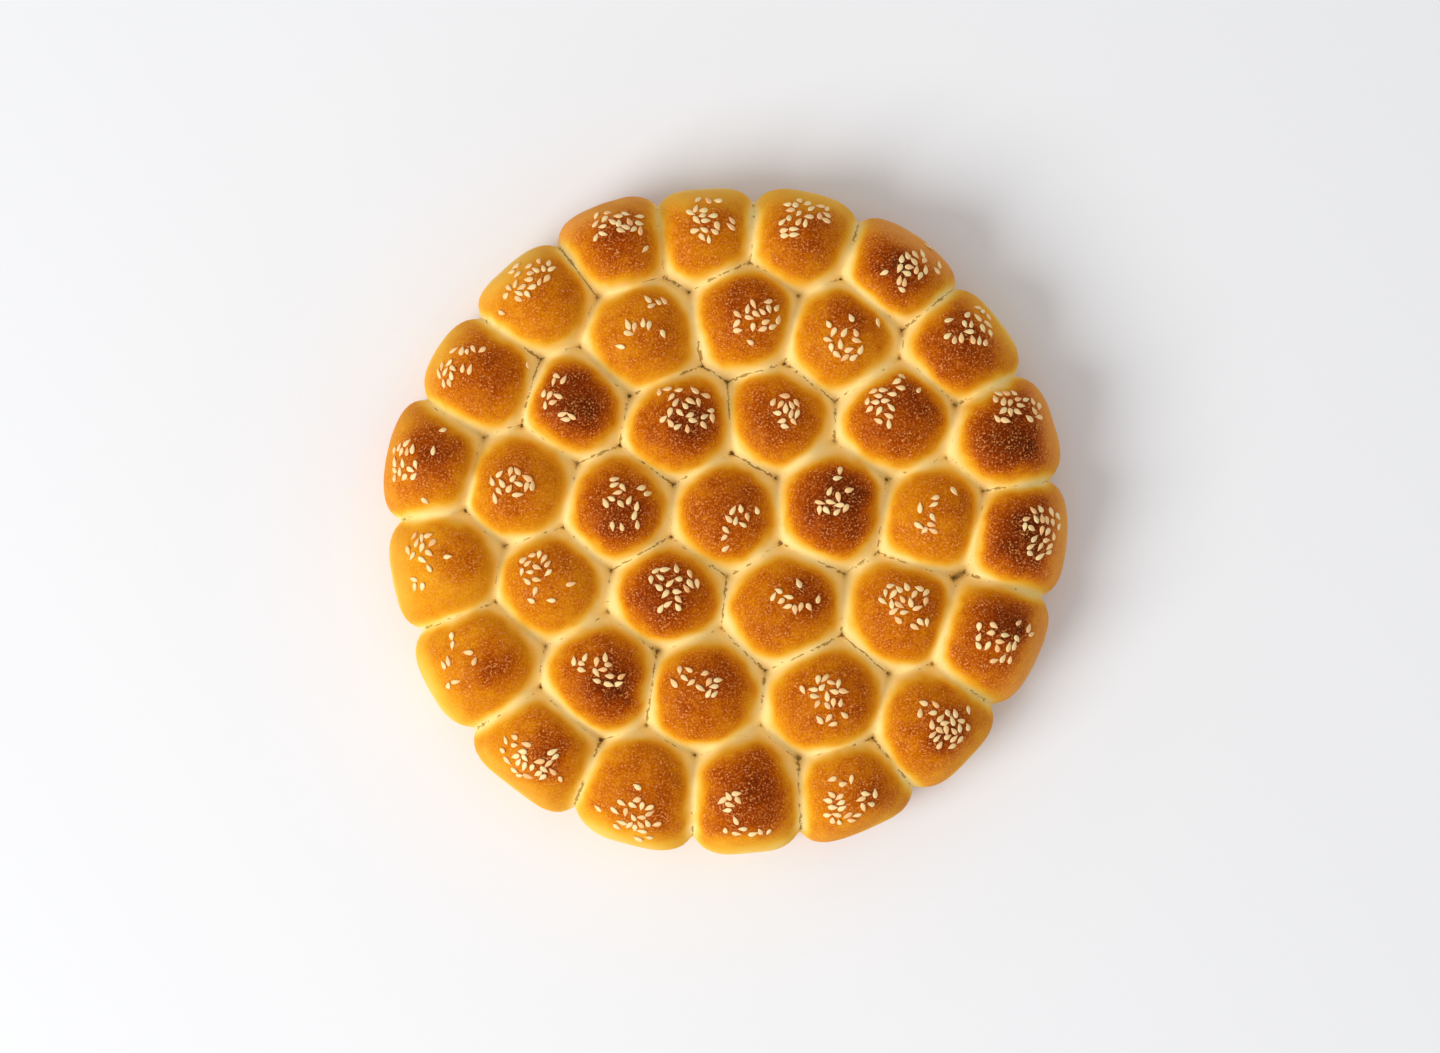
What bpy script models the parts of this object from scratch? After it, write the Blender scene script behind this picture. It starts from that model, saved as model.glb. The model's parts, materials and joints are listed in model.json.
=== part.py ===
"""Pull-apart bread: thirty-seven small buns baked against each other as one round loaf.

The buns stand in rings of 1, 6, 12 and 18 inside a round tin. Each bun is a ball of dough
that its neighbours press into a soft polygon. Flat meeting planes lie between the balls, and
a power diagram of their centres and sizes places those planes. The dome above the widest
level is a superellipse, round at the top and pressed toward its outline. The belly below it
is a deeper superellipse pressed flat on the tin.
Sesame seeds lie half sunk in the tops. Everything is joined into one closed solid.
Lengths are in metres, +Z is up, and the origin is the middle of the flat base.
"""
import math
import random
from typing import NamedTuple

import bmesh
import bpy
import numpy as np
from mathutils import Matrix, Vector

MM = 0.001

# The loaf
WIDEST_LEVEL = 18.0 * MM
BELLY_DEPTH = 28.0 * MM
CRUMB_RADIUS = 110.0 * MM
CRUMB_HEIGHT = 20.0 * MM
CRUMB_SEGMENTS = 36
INNER_FLOOR = 3.0 * MM
FLAT_LIMIT = 0.001 * MM

# How the dough is pressed
OVERLAP = 1.2
CORNER_POWER = 5.0
WALL_POWER = 6
JOINING_POWER = 3
WALL_SPREAD = 20.0
NEIGHBOUR_RANGE = 52.0 * MM
OUTER_LEAN = 4.0 * MM
PRESS_POWER = 3
DOME_FLATNESS = 2.3
BELLY_SQUARENESS = 6.6
DOME_SHARES = (0.0, 0.45, 0.74, 0.93, 1.0)
BUN_SEGMENTS = 17
BUN_ROWS = 8
TURN_STEP = 10
SLOPE_STEP = 0.2 * MM

# The sesame seeds
SEED_LENGTH = 3.3 * MM
SEED_WIDTH = 2.0 * MM
SEED_THICKNESS = 1.5 * MM
SEED_TAPER = 0.45
SEED_SINK = 0.15 * MM
SEEDS_PER_BUN = 4
SEED_SPREAD = 7.5 * MM
MIDDLE_SHIFT = 2.0 * MM
SEED_GAP = 3.9 * MM
SEED_DRAWS = 400
RANDOM_SEED = 37


class Bun(NamedTuple):
    """One ball of dough: its ring angle in degrees, and its reach, size and height in mm.

    The rim is how far the tin's wall stands from the loaf's middle at an outer bun, in mm.
    """

    angle: float
    reach: float
    size: float
    height: float
    rim: float = 0.0


# Rings from the middle outwards, each one clockwise from its upper left
CENTRE_BUN = [Bun(90.0, 2.5, 19.3, 42.0)]
INNER_RING = [
    Bun(116.0, 36.5, 19.2, 43.0), Bun(62.5, 39.5, 18.2, 41.5), Bun(8.0, 37.5, 19.4, 43.5),
    Bun(304.0, 36.0, 19.3, 42.0), Bun(232.0, 32.5, 18.7, 42.5), Bun(173.5, 37.0, 19.2, 43.5),
]
MIDDLE_RING = [
    Bun(114.5, 69.5, 20.2, 42.0), Bun(84.0, 70.0, 19.2, 43.0), Bun(58.0, 74.5, 19.9, 42.5),
    Bun(30.5, 68.5, 19.6, 43.0), Bun(1.0, 71.5, 18.9, 41.5), Bun(332.5, 68.5, 18.4, 42.0),
    Bun(299.5, 71.5, 19.9, 42.5), Bun(262.0, 59.5, 19.2, 42.5), Bun(232.0, 68.5, 19.3, 43.5),
    Bun(200.0, 64.0, 18.8, 41.5), Bun(170.5, 72.0, 19.6, 42.0), Bun(142.5, 65.5, 18.2, 44.0),
]
OUTER_RING = [
    Bun(111.5, 103.0, 18.6, 41.5, 120.5), Bun(94.0, 100.0, 18.3, 40.0, 117.0),
    Bun(75.0, 101.0, 19.0, 41.5, 120.0), Bun(55.5, 105.0, 18.6, 42.0, 120.5),
    Bun(36.5, 101.0, 18.4, 41.0, 119.5), Bun(16.5, 101.0, 18.6, 42.5, 121.5),
    Bun(357.0, 102.0, 18.8, 42.0, 120.5), Bun(336.5, 100.0, 19.2, 43.0, 120.5),
    Bun(314.5, 100.0, 18.6, 41.5, 120.5), Bun(295.0, 102.5, 18.4, 41.0, 120.5),
    Bun(274.5, 95.5, 19.1, 42.5, 118.0), Bun(252.5, 98.5, 19.4, 41.0, 120.0),
    Bun(231.0, 102.5, 18.6, 41.5, 120.5), Bun(210.0, 98.0, 19.6, 41.0, 121.5),
    Bun(189.5, 98.5, 19.4, 40.5, 119.0), Bun(169.0, 104.0, 18.6, 42.0, 122.5),
    Bun(149.5, 96.5, 18.9, 41.0, 118.5), Bun(130.0, 99.5, 18.7, 41.5, 118.0),
]

CRUST_COLOUR = (0.50, 0.20, 0.05, 1.0)
CRUST_ROUGHNESS = 0.6
SHARP_ANGLE = 50.0


def direction(degrees):
    """Return the level unit vector at an angle from +X."""
    turn = math.radians(degrees)
    return Vector((math.cos(turn), math.sin(turn), 0.0))


def bun_centre(bun):
    """Return a ball's centre on the base plane."""
    return direction(bun.angle) * bun.reach * MM


class PressedBun:
    """The soft polygon and dome that one ball of dough takes between its neighbours."""

    def __init__(self, bun, others, is_outer):
        """Find the bun's pole, and the meeting planes as seen from it."""
        centre = bun_centre(bun)
        outward = direction(bun.angle)
        self.pole = centre - outward * (OUTER_LEAN if is_outer else 0.0)
        self.height = bun.height * MM
        self.floor = 0.0 if is_outer else INNER_FLOOR
        self.planes = [self.meeting_plane(bun, centre, other) for other in others]
        self.walls = [self.wall_plane(bun, side) for side in (-1, 0, 1)] if is_outer else []
        reaches = [self.radius(direction(turn)) for turn in range(0, 360, TURN_STEP)]
        self.mean_reach = sum(reaches) / len(reaches)

    def meeting_plane(self, bun, centre, other):
        """Return the direction and distance of the plane shared with one neighbour."""
        across = bun_centre(other) - centre
        span = across.length
        share = (span ** 2 + (bun.size * MM) ** 2 - (other.size * MM) ** 2) / (2.0 * span)
        normal = across / span
        return normal, share - (self.pole - centre).dot(normal)

    def wall_plane(self, bun, side):
        """Return the direction and distance of a plane that touches the tin's wall.

        The wall isn't quite round: between two outer buns its distance runs evenly from one
        rim to the other.
        """
        turn = bun.angle + side * WALL_SPREAD
        normal = direction(turn)
        angles = [other.angle for other in OUTER_RING]
        rims = [other.rim for other in OUTER_RING]
        rim = float(np.interp(turn, angles, rims, period=360.0)) * MM
        return normal, (rim - self.pole.dot(normal)) / OVERLAP

    def radius(self, toward):
        """Return how far the bun reaches from its pole in a level direction."""
        pressed = sum(max(0.0, toward.dot(n) / d) ** CORNER_POWER for n, d in self.planes)
        walled = sum(max(0.0, toward.dot(n) / d) ** WALL_POWER for n, d in self.walls)
        gauge = pressed ** (JOINING_POWER / CORNER_POWER) + walled ** (JOINING_POWER / WALL_POWER)
        return OVERLAP / gauge ** (1.0 / JOINING_POWER)

    def dome_level(self, share, reach):
        """Return the dome's height at a share of the reach in one direction."""
        weight = share ** PRESS_POWER
        blended = share * (reach / self.mean_reach * (1.0 - weight) + weight)
        rise = math.sqrt(max(0.0, 1.0 - blended ** DOME_FLATNESS))
        return WIDEST_LEVEL + (self.height - WIDEST_LEVEL) * rise

    def surface_point(self, toward, polar):
        """Return the surface point in a level direction at an angle down from the top."""
        row = round(polar / math.pi * BUN_ROWS)
        reach = self.radius(toward)
        if row < len(DOME_SHARES):
            share = DOME_SHARES[row]
            level = self.dome_level(share, reach)
        else:
            share = math.sin(polar) ** (2.0 / BELLY_SQUARENESS)
            level = max(self.floor, WIDEST_LEVEL + BELLY_DEPTH * math.cos(polar))
        return self.pole + toward * reach * share + Vector((0.0, 0.0, level))

    def dome_point(self, offset):
        """Return the dome's point above a level offset from the pole."""
        distance = max(offset.length, FLAT_LIMIT)
        reach = self.radius(offset / distance)
        share = distance / reach
        inner, outer = next(pair for pair in zip(DOME_SHARES, DOME_SHARES[1:]) if share <= pair[1])
        part = (share - inner) / (outer - inner)
        level = self.dome_level(inner, reach) * (1.0 - part) + self.dome_level(outer, reach) * part
        return self.pole + offset + Vector((0.0, 0.0, level))

    def dome_normal(self, offset):
        """Return the dome's outward direction above a level offset from the pole."""
        along_x = self.dome_point(offset + Vector((SLOPE_STEP, 0, 0))) - self.dome_point(offset)
        along_y = self.dome_point(offset + Vector((0, SLOPE_STEP, 0))) - self.dome_point(offset)
        return along_x.cross(along_y).normalized()


def press_buns():
    """Return the pressed form of every bun in the four rings."""
    rings = CENTRE_BUN + INNER_RING + MIDDLE_RING + OUTER_RING
    pressed = []
    for bun in rings:
        near = [other for other in rings if other is not bun
                and (bun_centre(other) - bun_centre(bun)).length < NEIGHBOUR_RANGE]
        pressed.append(PressedBun(bun, near, bun in OUTER_RING))
    return pressed


def new_object(name, mesh_builder, collection):
    """Turn a filled bmesh into a named object in a collection."""
    mesh = bpy.data.meshes.new(name)
    mesh_builder.to_mesh(mesh)
    mesh_builder.free()
    made = bpy.data.objects.new(name, mesh)
    collection.objects.link(made)
    return made


def add_bun(name, pressed, collection):
    """Reshape a round ball into one pressed bun."""
    ball = bmesh.new()
    bmesh.ops.create_uvsphere(ball, u_segments=BUN_SEGMENTS, v_segments=BUN_ROWS, radius=1.0)
    for vertex in ball.verts:
        polar = math.acos(max(-1.0, min(1.0, vertex.co.z)))
        level = Vector((vertex.co.x, vertex.co.y, 0.0))
        toward = level.normalized() if level.length > FLAT_LIMIT else Vector((1.0, 0.0, 0.0))
        vertex.co = pressed.surface_point(toward, polar)
    return new_object(name, ball, collection)


def add_crumb(collection):
    """Add the low round crumb that closes the base where three buns meet."""
    crumb = bmesh.new()
    bmesh.ops.create_cone(crumb, cap_ends=True, segments=CRUMB_SEGMENTS,
                          radius1=CRUMB_RADIUS, radius2=CRUMB_RADIUS, depth=CRUMB_HEIGHT,
                          matrix=Matrix.Translation((0.0, 0.0, CRUMB_HEIGHT / 2.0)))
    return new_object("crumb", crumb, collection)


def add_seed(name, point, normal, turn, collection):
    """Add one flat teardrop seed lying on the crust."""
    seed = bmesh.new()
    bmesh.ops.create_icosphere(seed, subdivisions=1, radius=1.0)
    for vertex in seed.verts:
        taper = 1.0 - SEED_TAPER * vertex.co.x
        vertex.co.x *= SEED_LENGTH / 2.0
        vertex.co.y *= SEED_WIDTH / 2.0 * taper
        vertex.co.z *= SEED_THICKNESS / 2.0 * taper
    lying = normal.to_track_quat("Z", "X").to_matrix().to_4x4()
    place = Matrix.Translation(point - normal * SEED_SINK)
    seed.transform(place @ lying @ Matrix.Rotation(turn, 4, "Z"))
    return new_object(name, seed, collection)


def scatter_seeds(pressed, draw, collection):
    """Lay a few seeds on a bun, well apart, around a middle near its pole."""
    shifts = [draw.uniform(-MIDDLE_SHIFT, MIDDLE_SHIFT) for _ in range(2)]
    middle = Vector((*shifts, 0.0))
    kept = []
    for _ in range(SEED_DRAWS):
        offset = middle + direction(draw.uniform(0.0, 360.0)) * SEED_SPREAD * math.sqrt(draw.random())
        if all((offset - other).length > SEED_GAP for other in kept):
            kept.append(offset)
        if len(kept) == SEEDS_PER_BUN:
            break
    for offset in kept:
        name = "seed_%03d" % len(collection.objects)
        add_seed(name, pressed.dome_point(offset), pressed.dome_normal(offset),
                 draw.uniform(0.0, math.tau), collection)


def crust_material():
    """Return the baked crust's material."""
    crust = bpy.data.materials.new("crust")
    crust.use_nodes = True
    shader = crust.node_tree.nodes["Principled BSDF"]
    shader.inputs["Base Color"].default_value = CRUST_COLOUR
    shader.inputs["Roughness"].default_value = CRUST_ROUGHNESS
    shader.inputs["Metallic"].default_value = 0.0
    return crust


def join_collection(target, collection):
    """Fuse a collection's objects into the target by one Boolean union, then remove them."""
    union = target.modifiers.new("union", "BOOLEAN")
    union.operation = "UNION"
    union.solver = "MANIFOLD"
    union.operand_type = "COLLECTION"
    union.collection = collection
    shaped = target.evaluated_get(bpy.context.evaluated_depsgraph_get())
    fused = bpy.data.meshes.new_from_object(shaped)
    target.modifiers.clear()
    target.data = fused
    for piece in list(collection.objects):
        bpy.data.objects.remove(piece, do_unlink=True)
    bpy.data.collections.remove(collection)


def merge_base(target):
    """Make the flat base one face."""
    shape = bmesh.new()
    shape.from_mesh(target.data)
    flat = [face for face in shape.faces if all(abs(v.co.z) < FLAT_LIMIT for v in face.verts)]
    bmesh.ops.dissolve_faces(shape, faces=flat, use_verts=True)
    shape.to_mesh(target.data)
    shape.free()


def build_bread():
    """Build the whole loaf as one solid object named bread."""
    loaf = bpy.data.collections.new("pull_apart_bread")
    pieces = bpy.data.collections.new("pieces")
    bpy.context.scene.collection.children.link(loaf)
    bpy.context.scene.collection.children.link(pieces)
    buns = press_buns()
    bread = add_bun("bread", buns[0], loaf)
    add_crumb(pieces)
    for number, pressed in enumerate(buns[1:], start=2):
        add_bun("bun_%02d" % number, pressed, pieces)
    draw = random.Random(RANDOM_SEED)
    for pressed in buns:
        scatter_seeds(pressed, draw, pieces)
    join_collection(bread, pieces)
    merge_base(bread)
    bread.data.materials.clear()
    bread.data.materials.append(crust_material())
    bread.data.shade_smooth()
    bread.data.set_sharp_from_angle(angle=math.radians(SHARP_ANGLE))
    return bread


def main():
    """Empty the scene and build the bread."""
    for thing in list(bpy.data.objects):
        bpy.data.objects.remove(thing, do_unlink=True)
    build_bread()


if __name__ == "__main__":
    main()
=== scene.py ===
"""The looks of the pull-apart bread: the browned crust with its pale seams, and the sesame seeds.

Thirty-seven balls of dough stand in rings of 1, 6, 12 and 18 in a round tin. Each is pressed
into a soft polygon by its neighbours, domed above its widest level and flat underneath. The
balls are fused into one fine crust, which takes the place of the solid named bread. Lengths are
in metres in the frame of the solid: +Z is up, and the origin is the middle of the flat base.
"""
import json
import logging
import math
from dataclasses import dataclass
from enum import Enum
from typing import NamedTuple

import bpy
import numpy as np
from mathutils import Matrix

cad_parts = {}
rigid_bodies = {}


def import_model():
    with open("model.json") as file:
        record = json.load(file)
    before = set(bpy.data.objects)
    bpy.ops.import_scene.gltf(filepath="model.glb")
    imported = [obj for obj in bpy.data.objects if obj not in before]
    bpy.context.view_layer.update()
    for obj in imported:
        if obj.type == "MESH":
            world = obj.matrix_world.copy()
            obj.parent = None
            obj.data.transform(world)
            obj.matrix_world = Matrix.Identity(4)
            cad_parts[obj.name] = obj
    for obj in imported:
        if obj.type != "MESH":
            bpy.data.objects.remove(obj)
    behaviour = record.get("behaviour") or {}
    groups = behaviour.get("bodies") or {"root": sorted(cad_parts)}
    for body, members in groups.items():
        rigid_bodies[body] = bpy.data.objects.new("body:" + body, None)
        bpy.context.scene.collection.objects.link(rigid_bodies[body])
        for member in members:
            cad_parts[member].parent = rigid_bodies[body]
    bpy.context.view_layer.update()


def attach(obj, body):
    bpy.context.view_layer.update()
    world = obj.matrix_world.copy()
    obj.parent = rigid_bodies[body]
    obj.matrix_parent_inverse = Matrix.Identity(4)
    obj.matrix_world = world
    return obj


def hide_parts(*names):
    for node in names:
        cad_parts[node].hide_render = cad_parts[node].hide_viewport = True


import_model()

# Short names for types: rows of numbers, a node's socket, and a low and a high end
Array = np.ndarray
Socket = bpy.types.NodeSocket
Span = tuple[float, float]

LOG = logging.getLogger("bread")

MM = 0.001
BODY = "root"
SOLID = "bread"

# Large numbers that turn a lattice corner's place and a pattern's number into an unordered value
HASH_X, HASH_Y, HASH_Z = 73856093, 19349663, 83492791
HASH_PATTERN, HASH_MIX = 6542989, 1274126177


class Patch(NamedTuple):
    """A patch of seeds on a bun: how many, its middle and its half extents in mm."""

    count: int
    right: float
    up: float
    half_width: float = 1.0
    half_height: float = 1.0


class Bake(Enum):
    """How brown a bun's top came out, on the scale of the crust's colours."""

    GOLDEN = 0.50
    LIGHT = 0.60
    MEDIUM = 0.66
    BROWN = 0.72
    DARK = 0.81
    DEEP = 0.90


class ScorchAndShade(Enum):
    """How much darker than the rest of its bun a spot is: partly browner crust, partly painted shade."""

    FAINT = 0.08
    PLAIN = 0.13
    STRONG = 0.23


class Edge(Enum):
    """How brown the tin's wall baked a bun's rim, and how strong its painted sheen and shade are, each from
    0 to 1.
    """

    NONE = (0.0, 0.0)
    CREAM = (0.16, 0.08)
    PALE = (0.23, 0.25)
    GOLDEN = (0.30, 0.18)
    TAN = (0.35, 0.52)
    BROWN = (0.42, 0.12)


# Painted shade: most spots lie up and to the right of their bun's centre, on the side of the dome away from
# the light.
class Spot(NamedTuple):
    """The darkest spot, part browning and part painted shade: its middle from the bun's centre in mm, its
    strength.
    """

    right: float
    up: float
    scorch_and_shade: ScorchAndShade


@dataclass(frozen=True)
class Bun:
    """One ball of dough: its ring angle in degrees, and its reach, size and height in mm.

    The rim is how far the tin's wall stands from the loaf's middle at an outer bun, in mm, and
    the edge is how the wall baked it and how strong its painted sheen and shade are.
    """

    angle: float
    reach: float
    size: float
    height: float
    bake: Bake
    spot: Spot
    patches: tuple[Patch, ...]
    rim: float = 0.0
    edge: Edge = Edge.NONE


# The four rings from the middle outwards, each one clockwise from its upper left
CENTRE_BUN = (
    Bun(90.0, 2.5, 19.3, 42.0, Bake.BROWN, Spot(6.0, -1.0, ScorchAndShade.FAINT),
        (Patch(8, 4.5, -1.0, 3.5, 3.0), Patch(1, 10.5, 0.0), Patch(3, 0.0, -8.5, 1.8, 3.5))),
)
INNER_RING = (
    Bun(116.0, 36.5, 19.2, 43.0, Bake.DARK, Spot(6.0, 1.0, ScorchAndShade.STRONG),
        (Patch(15, 3.0, 3.0, 7.5, 4.5), Patch(7, 1.5, 10.0, 8.0, 3.0))),
    Bun(62.5, 39.5, 18.2, 41.5, Bake.BROWN, Spot(0.0, 2.0, ScorchAndShade.FAINT),
        (Patch(12, 2.5, 2.5, 4.5, 5.5),)),
    Bun(8.0, 37.5, 19.4, 43.5, Bake.DEEP, Spot(6.0, 5.0, ScorchAndShade.PLAIN),
        (Patch(5, 1.5, 7.0, 4.0, 4.5), Patch(7, -1.0, -0.5, 5.0, 2.0))),
    Bun(304.0, 36.0, 19.3, 42.0, Bake.BROWN, Spot(10.0, 6.0, ScorchAndShade.STRONG),
        (Patch(4, -1.5, 4.0, 3.5, 2.0), Patch(4, 4.5, 0.5, 4.0, 1.5), Patch(1, 4.0, 8.5),
         Patch(1, 12.5, 3.5))),
    Bun(232.0, 32.5, 18.7, 42.5, Bake.DARK, Spot(-2.0, 2.0, ScorchAndShade.PLAIN),
        (Patch(14, 2.5, 5.0, 7.5, 4.5), Patch(4, 1.5, -3.0, 4.0, 2.5))),
    Bun(173.5, 37.0, 19.2, 43.5, Bake.DARK, Spot(3.0, -4.0, ScorchAndShade.PLAIN),
        (Patch(11, 2.0, 5.0, 7.5, 5.0), Patch(4, 3.5, -5.0, 5.0, 3.0))),
)
MIDDLE_RING = (
    Bun(114.5, 69.5, 20.2, 42.0, Bake.LIGHT, Spot(9.0, -1.0, ScorchAndShade.FAINT),
        (Patch(4, 5.5, 11.5, 4.0, 1.5), Patch(3, 2.3, 4.0, 1.3, 1.8), Patch(5, -3.5, 2.0, 2.5, 1.8),
         Patch(1, 8.0, 1.0), Patch(1, -7.5, -3.5))),
    Bun(84.0, 70.0, 19.2, 43.0, Bake.BROWN, Spot(-1.0, 9.0, ScorchAndShade.PLAIN),
        (Patch(13, 5.5, 0.0, 5.5, 5.0), Patch(3, -3.0, -2.5, 1.5, 2.8), Patch(1, 0.5, -8.0))),
    Bun(58.0, 74.5, 19.9, 42.5, Bake.MEDIUM, Spot(6.0, 9.0, ScorchAndShade.STRONG),
        (Patch(9, 3.0, -3.5, 5.0, 4.5), Patch(4, -3.0, 0.0, 2.5, 4.0), Patch(1, 4.0, 5.5),
         Patch(1, 12.0, 4.5))),
    Bun(30.5, 68.5, 19.6, 43.0, Bake.DARK, Spot(8.0, 8.0, ScorchAndShade.PLAIN),
        (Patch(13, -6.0, 4.0, 5.0, 6.0), Patch(3, 0.5, 11.5, 2.0, 3.5), Patch(1, 6.5, 10.0))),
    Bun(1.0, 71.5, 18.9, 41.5, Bake.LIGHT, Spot(9.0, 6.0, ScorchAndShade.FAINT),
        (Patch(2, -5.0, 3.0, 1.0, 1.5), Patch(3, -0.5, 3.5, 1.0, 4.0),
         Patch(4, -3.0, -4.0, 3.0, 1.5), Patch(1, 7.0, 9.0))),
    Bun(332.5, 68.5, 18.4, 42.0, Bake.MEDIUM, Spot(11.0, 3.0, ScorchAndShade.FAINT),
        (Patch(17, 1.0, 5.0, 7.5, 5.0), Patch(2, -1.5, -2.0, 1.0, 1.2), Patch(3, 5.5, -3.5, 2.5, 1.5))),
    Bun(299.5, 71.5, 19.9, 42.5, Bake.MEDIUM, Spot(11.0, 3.0, ScorchAndShade.FAINT),
        (Patch(14, 0.0, 3.5, 5.5, 5.0), Patch(4, 1.0, -4.0, 4.5, 3.0), Patch(1, -8.5, 3.5))),
    Bun(262.0, 59.5, 19.2, 42.5, Bake.BROWN, Spot(7.0, 6.0, ScorchAndShade.PLAIN),
        (Patch(8, -2.5, 5.0, 7.0, 3.5), Patch(4, 4.0, 2.0, 2.5, 3.5))),
    Bun(232.0, 68.5, 19.3, 43.5, Bake.DARK, Spot(6.0, -2.0, ScorchAndShade.STRONG),
        (Patch(9, -3.0, 5.0, 6.0, 3.0), Patch(6, 2.5, 0.0, 5.0, 1.8))),
    Bun(200.0, 64.0, 18.8, 41.5, Bake.LIGHT, Spot(-2.0, 8.0, ScorchAndShade.FAINT),
        (Patch(12, -5.0, 5.5, 5.0, 4.5), Patch(1, 6.5, 0.5), Patch(3, -2.0, -4.5, 4.0, 2.5))),
    Bun(170.5, 72.0, 19.6, 42.0, Bake.LIGHT, Spot(-1.0, 0.0, ScorchAndShade.PLAIN),
        (Patch(17, -1.5, 1.0, 6.5, 4.0), Patch(1, -7.5, -4.0))),
    Bun(142.5, 65.5, 18.2, 44.0, Bake.DEEP, Spot(3.5, 2.0, ScorchAndShade.PLAIN),
        (Patch(3, -5.5, 8.0, 2.5, 1.2), Patch(5, -7.5, 1.5, 3.0, 2.8), Patch(3, -1.5, -4.5, 2.0, 1.2))),
)
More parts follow.
